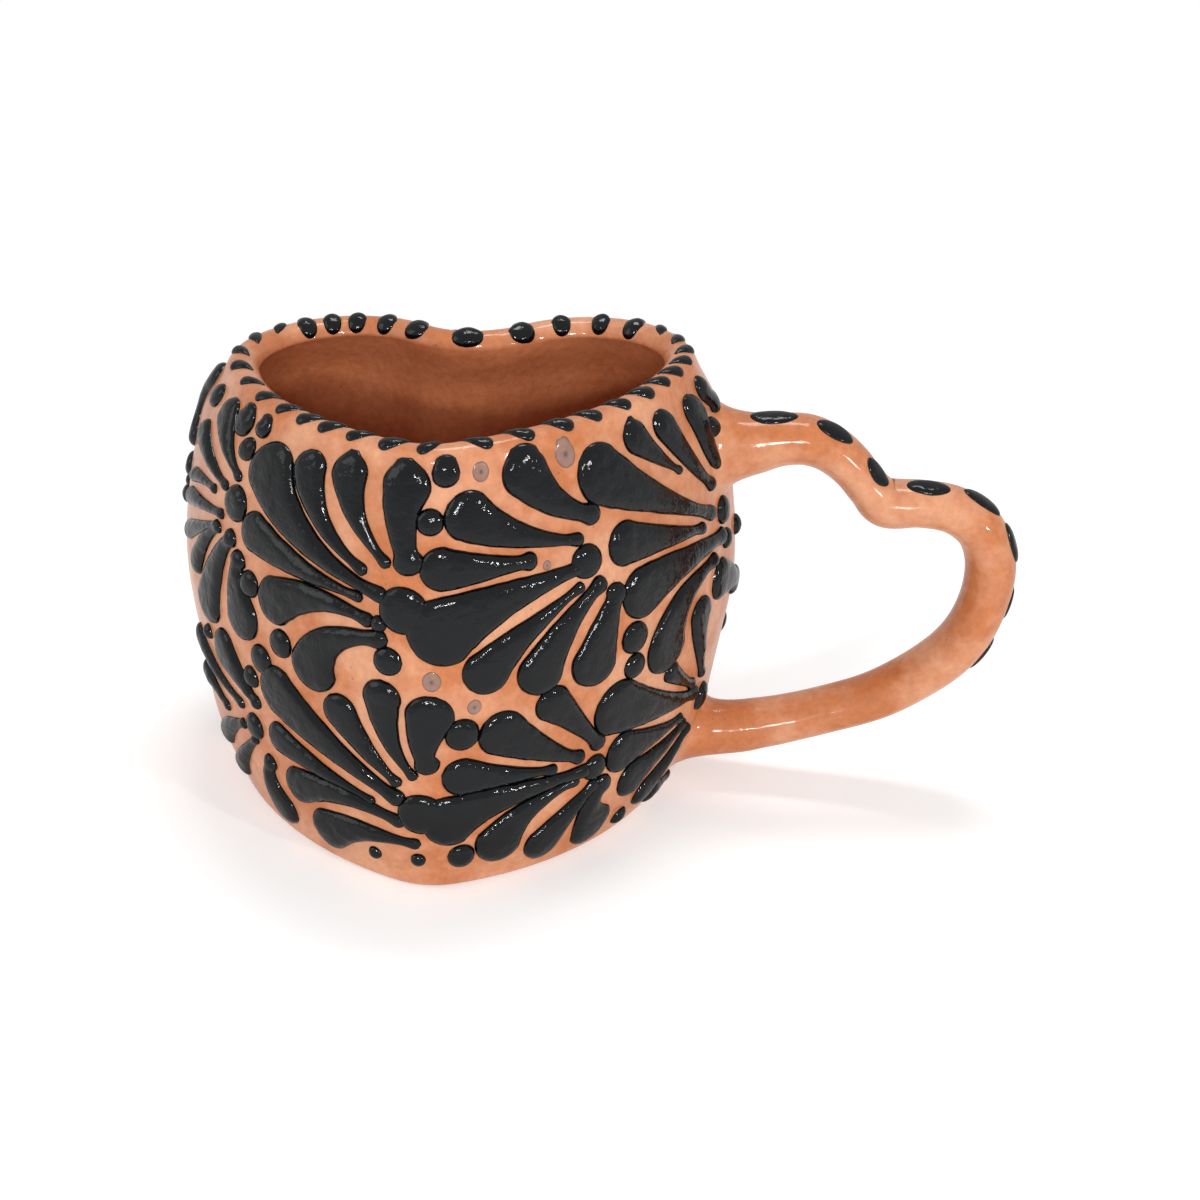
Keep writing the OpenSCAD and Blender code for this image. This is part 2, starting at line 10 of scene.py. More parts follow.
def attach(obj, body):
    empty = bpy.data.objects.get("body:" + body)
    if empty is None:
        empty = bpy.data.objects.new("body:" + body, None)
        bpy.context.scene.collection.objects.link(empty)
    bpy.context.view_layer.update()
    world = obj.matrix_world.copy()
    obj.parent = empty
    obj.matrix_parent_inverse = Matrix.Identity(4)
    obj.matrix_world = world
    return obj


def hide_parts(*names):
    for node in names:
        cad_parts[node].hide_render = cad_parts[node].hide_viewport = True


MM = 0.001

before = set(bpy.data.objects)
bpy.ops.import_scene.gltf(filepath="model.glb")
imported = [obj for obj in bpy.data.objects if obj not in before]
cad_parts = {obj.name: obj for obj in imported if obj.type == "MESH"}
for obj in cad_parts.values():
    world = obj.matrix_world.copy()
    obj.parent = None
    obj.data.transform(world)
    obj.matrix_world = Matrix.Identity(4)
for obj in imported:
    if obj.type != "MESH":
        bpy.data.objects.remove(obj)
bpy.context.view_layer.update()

# Body: the heart's outline at the belly and its girth up the wall
BODY_W = 108.0
BODY_H = 84.0
LOBE_R = 27.2
LOBE_BACK = 41.5
TIP_R = 18.7
FLANK_R = 78.0
CLEFT_R = 15.0
WALL_T = 5.4
FLOOR_T = 6.5
FLOOR_R = 7.0
FOOT_R = 1.6
RIM_RISE = 2.5
LIP_R = 3.1
LIP_LEAN = 22.0
LIP_RISE = 0.6
LEVELS = (0, 0.12, 0.3, 0.5, 0.7, 0.88, 1)
GIRTHS = (0.79, 0.905, 0.96, 1, 0.972, 0.908, 0.81)

# Handle
HANDLE_OUT = 53.6
HANDLE_T = 9.6
HANDLE_D = 11.2
HANDLE_BACK = 14.0
ROOT_FILLET = 3.2

# Raised slip
BEAD_H = 1.25
BEAD_SHOULDER = 2.1
BEAD_SINK = 0.3
DASH_H = 0.75
SPOT_H = 0.55
WASH_H = 0.14


def ray(degrees):
    return Vector((math.cos(math.radians(degrees)), math.sin(math.radians(degrees))))


LIP_SHIFT = LIP_RISE * math.tan(math.radians(LIP_LEAN))


def heading(v):
    return math.degrees(math.atan2(v[1], v[0]))


def heart_arcs():
    """The right half of the outline, tip to cleft: centre, radius, first and last angle, bulge."""
    lobe = Vector((BODY_W / 2 - LOBE_R, LOBE_BACK))
    cleft = Vector((0, LOBE_BACK + math.sqrt((LOBE_R + CLEFT_R) ** 2 - lobe.x**2)))
    near, far, span = FLANK_R - TIP_R, FLANK_R - LOBE_R, lobe.length
    along = (near**2 - far**2 + span**2) / (2 * span)
    across = math.sqrt(near**2 - along**2)
    flank = (along * lobe + across * Vector((-lobe.y, lobe.x))) / span
    return [
        (Vector((0, 0)), TIP_R, -90, heading(-flank), 1),
        (flank, FLANK_R, heading(-flank), heading(lobe - flank), 1),
        (lobe, LOBE_R, heading(lobe - flank), heading(cleft - lobe), 1),
        (cleft, CLEFT_R, heading(lobe - cleft), -90, -1),
    ]


ARCS = heart_arcs()
ARC_LENGTHS = [r * math.radians(abs(b - a)) for _, r, a, b, _ in ARCS]
HALF_LENGTH = sum(ARC_LENGTHS)
AXIS_Y = -GIRTHS[0] * (LOBE_BACK + LOBE_R - TIP_R) / 2


def outline(u, girth_at=1.0, inset=0.0):
    """Point and outward normal of the heart at a share u of half its outline, 0 at the tip."""
    w = (u + 1) % 2 - 1
    side = -1 if w < 0 else 1
    left = abs(w) * HALF_LENGTH
    for arc, length in zip(ARCS, ARC_LENGTHS):
        if left <= length or arc is ARCS[-1]:
            break
        left -= length
    centre, r, first, last, bulge = arc
    d = ray(first + (last - first) * left / length)
    p = centre * girth_at + (r * girth_at - bulge * inset) * d
    return Vector((side * p.x, p.y + AXIS_Y)), Vector((side * bulge * d.x, bulge * d.y))


def secant(i):
    return (GIRTHS[i + 1] - GIRTHS[i]) / (LEVELS[i + 1] - LEVELS[i])


def slope_at(i):
    if i == 0:
        return secant(0)
    if i == len(LEVELS) - 1:
        return secant(i - 1)
    return (GIRTHS[i + 1] - GIRTHS[i - 1]) / (LEVELS[i + 1] - LEVELS[i - 1])


def girth(h):
    i = max(k for k in range(len(LEVELS) - 1) if k == 0 or h > LEVELS[k])
    step = LEVELS[i + 1] - LEVELS[i]
    t = (h - LEVELS[i]) / step
    return (
        GIRTHS[i] * (1 + 2 * t) * (1 - t) ** 2
        + slope_at(i) * step * t * (1 - t) ** 2
        + GIRTHS[i + 1] * t * t * (3 - 2 * t)
        + slope_at(i + 1) * step * t * t * (t - 1)
    )


def rise(u, h):
    return RIM_RISE * h**3 * 2 * outline(u)[0].x / BODY_W


def unevenness(p):
    """Hand-made waviness of the clay, in millimetres."""
    slow = noise.noise(p / 24 + Vector((3.1, 0, 0)))
    quick = noise.noise(p / 9 + Vector((0, 7.7, 0)))
    return 0.30 * slow + 0.10 * quick


def skin(u, v, lift=0.0):
    """The body's skin: u along the outline, v up the wall and on over the lip, lift off it."""
    out, n = outline(u)
    if v > 1:
        a = LIP_LEAN + math.degrees((v - 1) * BODY_H / LIP_R)
        p, _ = outline(u, girth(1), LIP_SHIFT + LIP_R * (ray(LIP_LEAN).x - ray(a).x))
        z = BODY_H + LIP_RISE + LIP_R * (ray(a).y - ray(LIP_LEAN).y)
        base = Vector((p.x, p.y, z + rise(u, 1)))
        normal = Vector((n.x * ray(a).x, n.y * ray(a).x, ray(a).y))
    else:
        p, _ = outline(u, girth(v))
        base = Vector((p.x, p.y, BODY_H * v + rise(u, v)))
        widening = (girth(v + 0.01) - girth(v - 0.01)) / (0.02 * BODY_H)
        radial = Vector((out.x, out.y - AXIS_Y)).dot(n)
        normal = Vector((n.x, n.y, -radial * widening)).normalized()
    return base + (lift + unevenness(base)) * normal


def chart_step(p, d):
    """A step on the chart by d millimetres along and up the skin."""
    return Vector((p[0] + d[0] / (HALF_LENGTH * girth(min(p[1], 1))), p[1] + d[1] / BODY_H))


def smooth_curve(knots, t):
    """Smooth curve through a list of vectors, t counted in knots; it runs on past both ends."""
    i = min(max(int(math.floor(t)), 0), len(knots) - 2)
    f = t - i
    b, c = knots[i], knots[i + 1]
    a = knots[i - 1] if i > 0 else 2 * b - c
    d = knots[i + 2] if i + 2 < len(knots) else 2 * c - b
    return b + 0.5 * (f * (c - a) + f * f * (2 * a - 5 * b + 4 * c - d) + f**3 * (3 * b - a - 3 * c + d))


def add_patch(bm, columns, rows, place):
    """A grid of faces whose points go where place(s, t) says, s and t from 0 to 1."""
    made = bmesh.ops.create_grid(bm, x_segments=columns, y_segments=rows, size=1)["verts"]
    for vert in made:
        s, t = (vert.co.x + 1) / 2, (vert.co.y + 1) / 2
        vert.co = place(s, t) * MM
    return made


def finish_mesh(bm, name, material, node, merge=0.004):
    """Closes seams and poles, turns faces out, and makes the object that stands for a node."""
    bmesh.ops.remove_doubles(bm, verts=bm.verts, dist=merge * MM)
    bmesh.ops.dissolve_degenerate(bm, edges=bm.edges, dist=0.0005 * MM)
    bmesh.ops.recalc_face_normals(bm, faces=bm.faces)
    for face in bm.faces:
        face.smooth = True
    mesh = bpy.data.meshes.new(name)
    bm.to_mesh(mesh)
    bm.free()
    piece = bpy.data.objects.new(name, mesh)
    bpy.context.scene.collection.objects.link(piece)
    mesh.materials.append(material)
    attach(piece, "root")
    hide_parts(node)


# Materials


def rgb(code):
    """sRGB hex colour as linear RGBA."""
    parts = [int(code[i : i + 2], 16) / 255 for i in (1, 3, 5)]
    return tuple(c / 12.92 if c <= 0.04045 else ((c + 0.055) / 1.055) ** 2.4 for c in parts) + (1.0,)


class Finish:
    """The node tree of a material or of the world; add() makes a node with its settings and links."""

    def __init__(self, owner):
        self.owner = owner
        owner.use_nodes = True
        self.tree = owner.node_tree
        self.tree.nodes.clear()

    def add(self, kind, settings=None, **inputs):
        node = self.tree.nodes.new(kind)
        for key, value in (settings or {}).items():
            setattr(node, key, value)
        for key, value in inputs.items():
            if key[0] == "i" and key[1:].isdigit():
                socket = node.inputs[int(key[1:])]
            else:
                socket = node.inputs[key.replace("_", " ")]
            if isinstance(value, bpy.types.NodeSocket):
                self.tree.links.new(value, socket)
            else:
                socket.default_value = value
        return node


BLEND = {"data_type": "RGBA"}
OVERLAY = {"data_type": "RGBA", "blend_type": "OVERLAY"}


def per_mm(size):
    """Noise scale for a feature of that size in millimetres, on coordinates in metres."""
    return 1 / (size * MM)


def glazed_clay():
    """Peach earthenware under a clear gloss glaze: mottled body colour, wet-looking coat."""
    f = Finish(bpy.data.materials.new("clear_glazed_earthenware"))
    where = f.add("ShaderNodeTexCoord").outputs["Object"]
    clouds = f.add("ShaderNodeTexNoise", Vector=where, Scale=per_mm(16), Detail=4.0, Roughness=0.6)
    clouds = clouds.outputs["Fac"]
    grain = f.add("ShaderNodeTexNoise", Vector=where, Scale=per_mm(1.6), Detail=5.0, Roughness=0.7)
    grain = grain.outputs["Fac"]
    inside = f.add("ShaderNodeAttribute", {"attribute_name": "inside"}).outputs["Fac"]
    mottle = f.add("ShaderNodeMapRange", Value=clouds, From_Min=0.40, From_Max=0.60)
    peach, orange = rgb("#d29470"), rgb("#bd7042")
    outer = f.add("ShaderNodeMix", BLEND, i0=mottle.outputs["Result"], i6=peach, i7=orange)
    outer = f.add("ShaderNodeMix", OVERLAY, i0=0.35, i6=outer.outputs[2], i7=grain)
    inner = f.add("ShaderNodeMix", BLEND, i0=clouds, i6=rgb("#d88c62"), i7=rgb("#a55c34"))
    inner = f.add("ShaderNodeMix", OVERLAY, i0=0.45, i6=inner.outputs[2], i7=grain)
    both = f.add("ShaderNodeMix", BLEND, i0=inside, i6=outer.outputs[2], i7=inner.outputs[2])
    specks = f.add("ShaderNodeTexVoronoi", Vector=where, Scale=per_mm(2.6), Randomness=1.0)
    dot = f.add(
        "ShaderNodeMapRange", Value=specks.outputs["Distance"],
        From_Min=0.05, From_Max=0.12, To_Min=0.45, To_Max=0.0,
    )
    pick = f.add("ShaderNodeMath", {"operation": "GREATER_THAN"}, i0=specks.outputs["Color"], i1=0.72)
    speck = f.add("ShaderNodeMath", {"operation": "MULTIPLY"}, i0=dot.outputs["Result"], i1=pick.outputs[0])
    colour = f.add("ShaderNodeMix", BLEND, i0=speck.outputs[0], i6=both.outputs[2], i7=rgb("#6a3a22"))
    tooth = f.add("ShaderNodeBump", Strength=0.25, Distance=0.12 * MM, Height=grain)
    wave = f.add("ShaderNodeTexNoise", Vector=where, Scale=per_mm(5), Detail=2.0)
    waves = f.add(
        "ShaderNodeBump", Strength=0.5, Distance=0.25 * MM,
        Height=wave.outputs["Fac"], Normal=tooth.outputs[0],
    )
    shader = f.add(
        "ShaderNodeBsdfPrincipled", Base_Color=colour.outputs[2], Roughness=0.5, IOR=1.5,
        Specular_IOR_Level=0.2, Normal=waves.outputs[0], Coat_Weight=0.4, Coat_Roughness=0.08,
        Coat_IOR=1.5, Coat_Normal=waves.outputs[0],
    )
    f.add("ShaderNodeOutputMaterial", Surface=shader.outputs[0])
    return f.owner


def black_slip():
    """Thick trailed slip, fired to a black gloss: crinkled and pitted, so highlights break up."""
    f = Finish(bpy.data.materials.new("gloss_black_slip"))
    where = f.add("ShaderNodeTexCoord").outputs["Object"]
    lumps = f.add("ShaderNodeTexNoise", Vector=where, Scale=per_mm(2.2), Detail=2.0, Roughness=0.5)
    lumps = lumps.outputs["Fac"]
    crinkle = f.add("ShaderNodeTexNoise", Vector=where, Scale=per_mm(0.75), Detail=3.0, Roughness=0.55)
    pits = f.add("ShaderNodeTexVoronoi", Vector=where, Scale=per_mm(1.9), Randomness=1.0)
    pit = f.add("ShaderNodeMapRange", Value=pits.outputs["Distance"], From_Min=0.0, From_Max=0.22)
    lumpy = f.add("ShaderNodeBump", Strength=0.8, Distance=0.3 * MM, Height=lumps)
    crinkled = f.add(
        "ShaderNodeBump", Strength=0.5, Distance=0.12 * MM,
        Height=crinkle.outputs["Fac"], Normal=lumpy.outputs[0],
    )
    pitted = f.add(
        "ShaderNodeBump", Strength=0.35, Distance=0.1 * MM,
        Height=pit.outputs["Result"], Normal=crinkled.outputs[0],
    )
    tone = f.add("ShaderNodeMix", BLEND, i0=lumps, i6=rgb("#020203"), i7=rgb("#080c10"))
    shader = f.add(
        "ShaderNodeBsdfPrincipled", Base_Color=tone.outputs[2], Roughness=0.4, IOR=1.5,
        Specular_IOR_Level=0.0, Normal=pitted.outputs[0], Coat_Weight=0.55, Coat_Roughness=0.07,
        Coat_IOR=1.5, Coat_Normal=pitted.outputs[0],
    )
    f.add("ShaderNodeOutputMaterial", Surface=shader.outputs[0])
    return f.owner


def brown_wash():
    """A thin drop of watered slip under the glaze: brown and see-through, dark where it pooled."""
    f = Finish(bpy.data.materials.new("thin_brown_wash"))
    where = f.add("ShaderNodeTexCoord").outputs["Object"]
    pooled = f.add("ShaderNodeAttribute", {"attribute_name": "pooled"}).outputs["Fac"]
    grain = f.add("ShaderNodeTexNoise", Vector=where, Scale=per_mm(0.9), Detail=3.0).outputs["Fac"]
    ramp = f.add("ShaderNodeValToRGB", Fac=pooled)
    stops = ramp.color_ramp.elements
    stops[0].position, stops[0].color = 0.0, rgb("#2a211f")
    stops[1].position, stops[1].color = 1.0, rgb("#5f4338")
    middle = stops.new(0.35)
    middle.color = rgb("#86604e")
    late = stops.new(0.8)
    late.color = rgb("#8a6250")
    colour = f.add("ShaderNodeMix", OVERLAY, i0=0.3, i6=ramp.outputs["Color"], i7=grain)
    bump = f.add("ShaderNodeBump", Strength=0.3, Distance=0.1 * MM, Height=grain)
    shader = f.add(
        "ShaderNodeBsdfPrincipled", Base_Color=colour.outputs[2], Roughness=0.35, IOR=1.5,
        Normal=bump.outputs[0], Coat_Weight=0.9, Coat_Roughness=0.05, Coat_IOR=1.5,
    )
    f.add("ShaderNodeOutputMaterial", Surface=shader.outputs[0])
    return f.owner


CLAY = glazed_clay()
SLIP = black_slip()
WASH = brown_wash()


# Body

WALL_ROWS = 84
LIP_ROWS = 24
INNER_ROWS = 40
CORNER_ROWS = 10
DISC_ROWS = 10
AROUND = 400


def body_profile():
    """Rows of the body's section, each a function from u to a point, and its share inside."""
    rows = []

    def disc(share, z, inset, crown):
        def at(u):
            p, _ = outline(u, girth(z / BODY_H), inset)
            q = p * share
            return Vector((q.x, q.y, z + crown * (1 - share * share)))

        return at

    def foot_edge(a):
        z = FOOT_R * (1 - ray(a).x)
        inset = FOOT_R * (1 - ray(a).y)

        def at(u):
            p, _ = outline(u, girth(z / BODY_H), inset)
            return Vector((p.x, p.y, z))

        return at

    def inner(h):
        z_top = BODY_H + LIP_RISE - LIP_R * ray(LIP_LEAN).y
        z = z_top + (FLOOR_T + FLOOR_R - z_top) * h
        lip_inset = LIP_SHIFT + LIP_R * (1 + ray(LIP_LEAN).x)
        ease = min(1, h * 6)
        inset = lip_inset + (WALL_T - lip_inset) * ease * ease * (3 - 2 * ease)

        def at(u):
            p, n = outline(u, girth(z / BODY_H), inset)
            base = Vector((p.x, p.y, z + rise(u, z / BODY_H)))
            return base - 0.6 * unevenness(base * 1.3) * Vector((n.x, n.y, 0)) * ease

        return at

    def corner(a):
        z = FLOOR_T + FLOOR_R * (1 - ray(a).y)
        inset = WALL_T + FLOOR_R * (1 - ray(a).x)

        def at(u):
            p, _ = outline(u, girth(z / BODY_H), inset)
            return Vector((p.x, p.y, z))

        return at

    for i in range(DISC_ROWS):
        rows.append((disc(i / DISC_ROWS, 0, FOOT_R, 0), 0))
    for i in range(6):
        rows.append((foot_edge(90 * i / 6), 0))
    first = FOOT_R / BODY_H
    for i in range(WALL_ROWS):
        h = first + (1 - first) * i / WALL_ROWS
        ease = min(1, i / 6)
        rows.append((lambda u, h=h, ease=ease: wall_row(u, h, ease), 0))
    lip_span = math.radians(180 - LIP_LEAN) * LIP_R / BODY_H
    for i in range(LIP_ROWS):
        over = 1 + 1e-6 + lip_span * i / LIP_ROWS
        share = min(1, max(0, (i / LIP_ROWS - 0.62) / 0.3))
        rows.append((lambda u, v=over: skin(u, v), share * share * (3 - 2 * share)))
    for i in range(INNER_ROWS):
        rows.append((inner(i / INNER_ROWS), 1))
    for i in range(CORNER_ROWS):
        rows.append((corner(90 * i / CORNER_ROWS), 1))
    for i in range(DISC_ROWS + 1):
        rows.append((disc(1 - i / DISC_ROWS, FLOOR_T, WALL_T + FLOOR_R, 0.4), 1))
    return rows


def wall_row(u, h, ease):
    """The outer wall, whose unevenness fades out at the foot, which stands flat."""
    p = skin(u, h)
    if ease < 1:
        q, _ = outline(u, girth(h))
        return Vector((q.x, q.y, BODY_H * h + rise(u, h))).lerp(p, ease)
    return p


def make_body():
    rows = body_profile()
    bm = bmesh.new()
    inside = bm.verts.layers.float.new("inside")
    last = len(rows) - 1
    made = bmesh.ops.create_grid(bm, x_segments=AROUND, y_segments=last, size=1)["verts"]
    for vert in made:
        s, t = (vert.co.x + 1) / 2, (vert.co.y + 1) / 2
        at, share = rows[round(t * last)]
        vert[inside] = share
        vert.co = at(2 * s - 1) * MM
    finish_mesh(bm, "body", CLAY, "mug_body")


# Handle: out from the belly, up the wall, and thickness, in shares of their sizes

LOOP = [
    Vector((BODY_W / 2 + x * (HANDLE_OUT - HANDLE_T / 2), z * BODY_H, swell))
    for x, z, swell in (
        (-0.02, 0.845, 1.42), (0.06, 0.859, 1.16), (0.14, 0.869, 1.02), (0.23, 0.871, 0.98),
        (0.32, 0.853, 0.93), (0.405, 0.816, 0.88), (0.482, 0.766, 0.86), (0.556, 0.731, 0.98),
        (0.69, 0.733, 0.93), (0.82, 0.724, 0.94), (0.93, 0.683, 0.98), (0.988, 0.615, 1.00),
        (0.997, 0.535, 1.00), (0.965, 0.446, 1.00), (0.895, 0.369, 1.01), (0.772, 0.298, 0.99),
        (0.617, 0.236, 0.98), (0.449, 0.193, 0.97), (0.247, 0.152, 0.99), (0.10, 0.128, 1.06),
        (-0.03, 0.100, 1.20),
    )
]
LOOP_END = len(LOOP) - 1


def handle_skin(t, a, lift=0.0):
    """The handle's skin: t along the knots, a degrees round the section from its outer edge."""
    p = smooth_curve(LOOP, t)
    d = smooth_curve(LOOP, t + 0.01) - smooth_curve(LOOP, t - 0.01)
    d = Vector((d.x, d.y)).normalized()
    swell = HANDLE_T / 2 * p.z
    depth = HANDLE_D / 2 * (1 + (p.z - 1) / 2)
    c, s = ray(a)
    base = Vector((p.x - d.y * swell * c, HANDLE_BACK + depth * s, p.y + d.x * swell * c))
    normal = Vector((-d.y * c / swell, s / depth, d.x * c / swell)).normalized()
    return base + (lift + 0.6 * unevenness(base * 1.4)) * normal


def wall_out(y, z, lift=0.0):
    """The wall's skin on the handle's side at depth y and height z."""
    h = z / BODY_H
    for _ in range(2):
        h = (z - RIM_RISE * h**3) / BODY_H
    g = girth(h)
    lobe, flank = ARCS[2], ARCS[1]
    joint = (lobe[0] + LOBE_R * ray(lobe[2])) * g
    centre, r = (lobe[0] * g, LOBE_R * g) if y - AXIS_Y > joint.y else (flank[0] * g, FLANK_R * g)
    x = centre.x + math.sqrt(r * r - (y - AXIS_Y - centre.y) ** 2)
    n = Vector((x - centre.x, y - AXIS_Y - centre.y)) / r
    widening = (girth(h + 0.01) - girth(h - 0.01)) / (0.02 * BODY_H)
    normal = Vector((n.x, n.y, -Vector((x, y - AXIS_Y)).dot(n) * widening)).normalized()
    base = Vector((x, y, z))
    return base + (lift + unevenness(base)) * normal


ROOT_BLEND = 1.15
ROOT_SHARE = 0.45
ROOT_LOW = 0.7
ROOT_HUG = 0.9
ROOT_SINK = 0.15


def root_skin(root, a, w):
    """Where a root of the handle flows out of the wall: w goes from 0 on the wall to 1 on the loop."""
    middle = smooth_curve(LOOP, root)
    q = handle_skin(root, a)
    away = Vector((q.y - HANDLE_BACK, q.z - middle.y))
    spread = away * (away.length + ROOT_FILLET) / away.length
    low = max(middle.y + spread.y, ROOT_LOW)
    start = wall_out(HANDLE_BACK + spread.x, low, -ROOT_SINK)
    near = max(middle.y + spread.y * 0.9, ROOT_LOW + 0.3)
    inner = wall_out(HANDLE_BACK + spread.x * 0.9, near, -ROOT_SINK)
    sign = -1 if root else 1
    joint = root + sign * ROOT_BLEND
    end = handle_skin(joint, a)
    onward = (handle_skin(joint + sign * 0.1, a) - end).normalized()
    reach = (end - start).length
    inward = (inner - start).normalized()
    a0, a1 = (1 + 2 * w) * (1 - w) ** 2, w * w * (3 - 2 * w)
    b0, b1 = w * (1 - w) ** 2, w * w * (w - 1)
    return a0 * start + a1 * end + reach * (b0 * ROOT_HUG * inward + b1 * onward)
HANDLE_ROWS = 230
HANDLE_AROUND = 56
ROOT_ROWS = 12


def make_handle():
    """The loop, with the slip that joins each root to the wall smoothed into a fillet."""

    def upper(s, t):
        return root_skin(0, 360 * s, ROOT_SHARE * t)

    def lower(s, t):
        return root_skin(LOOP_END, 360 * s, ROOT_SHARE * t)

    def loop(s, t):
        knot = t * LOOP_END
        for root, dist in ((0, knot), (LOOP_END, LOOP_END - knot)):
            if dist < ROOT_BLEND:
                return root_skin(root, 360 * s, ROOT_SHARE + (1 - ROOT_SHARE) * dist / ROOT_BLEND)
        return handle_skin(knot, 360 * s)

    bm = bmesh.new()
    add_patch(bm, HANDLE_AROUND, HANDLE_ROWS, loop)
    finish_mesh(bm, "handle_loop", CLAY, "handle")
    roots = (
        ("upper_joining_slip", "upper_luting_slip", upper),
        ("lower_joining_slip", "lower_luting_slip", lower),
    )
    for name, node, place in roots:
        bm = bmesh.new()
        add_patch(bm, HANDLE_AROUND, ROOT_ROWS, place)
        finish_mesh(bm, name, CLAY, node)


# Trailed slip: a bead follows knots (u, v, width), with widths as shares of the wall's height

BEAD_POINTS = 40


def bead_profile(d, r, height):
    """Height of a bead at a distance d in from its edge, where its half width is r."""
    shoulder = min(r, BEAD_SHOULDER)
    k = min(1, max(0, d / shoulder))
    top = height * min(1, (r / (BEAD_SHOULDER * 0.8)) ** 0.75)
    crown = 0.18 * (top / height) * min(1, d / max(r, 0.1)) * min(1, r / 4)
    return top * math.sqrt(max(0, 1 - (1 - k) ** 2)) + crown


def add_bead(bm, knots, height, step=0.7, across=20):
    """One bead of slip along a smooth line of knots on the chart, with round ends."""
    knots = [Vector(k) for k in knots]
    line = knots
    if len(knots) > 1:
        line = [smooth_curve(knots, (len(knots) - 1) * i / BEAD_POINTS) for i in range(BEAD_POINTS + 1)]
    radii = [k.z / 2 * BODY_H for k in line]
    steps = [chart_mm(a, b).length for a, b in zip(line, line[1:])]
    total = sum(steps)
    runs = [0.0]
    for length in steps:
        runs.append(runs[-1] + length)

    def at(run):
        """Place, heading and half width at a run along the line."""
        if len(line) == 1:
            return line[0], Vector((1, 0)), radii[0]
        run = min(max(run, 0), total)
        i = max(k for k in range(len(runs) - 1) if k == 0 or runs[k] <= run)
        f = (run - runs[i]) / max(steps[i], 1e-9)
        before, after = line[max(i - 1, 0)], line[min(i + 2, BEAD_POINTS)]
        r = radii[i] * (1 - f) + radii[i + 1] * f
        return line[i].lerp(line[i + 1], f), chart_mm(before, after).normalized(), r

    first, last = radii[0], radii[-1]
    whole = total + first + last
    rows = max(10, int(whole / step))

    def station(t):
        """Run along the line, run beyond its ends and share of the half width there."""
        run = whole * t - first
        if run < 0:
            k = min(1, -run / first)
            return 0.0, run, math.sqrt(max(0, 1 - k * k))
        if run > total:
            k = min(1, (run - total) / last)
            return total, run - total, math.sqrt(max(0, 1 - k * k))
        return run, 0.0, 1.0

    def put(s, t):
        """Rows lie closer in the round ends; the underside is sunk into the clay."""
        ends = 0.5 - 0.5 * math.cos(math.pi * t)
        run, beyond, share = station(0.55 * t + 0.45 * ends)
        mid, ahead, r = at(run)
        side = Vector((ahead.y, -ahead.x))
        a = 2 * math.pi * s
        x = math.cos(a) * r * share
        wobble = 1 + 0.05 * noise.noise(Vector((mid.x * 60, mid.y * 40, 2 * math.copysign(1, x))))
        u, v = chart_step(mid, beyond * ahead + x * wobble * side)
        if math.sin(a) < 0:
            return skin(u, v, -BEAD_SINK)
        edge = r - math.hypot(x, beyond)
        lift = bead_profile(edge, r, height)
        base = skin(u, v, lift)
        lump = noise.noise(base / 2.4) * 0.10 + noise.noise(base / 5.5) * 0.10
        return skin(u, v, lift + lump * min(1, edge))

    add_patch(bm, across * 2, rows, put)


def chart_mm(a, b):
    """The way between two places on the chart, in millimetres along and up the skin."""
    along = (b.x - a.x) * HALF_LENGTH * girth(min((a.y + b.y) / 2, 1))
    return Vector((along, (b.y - a.y) * BODY_H))


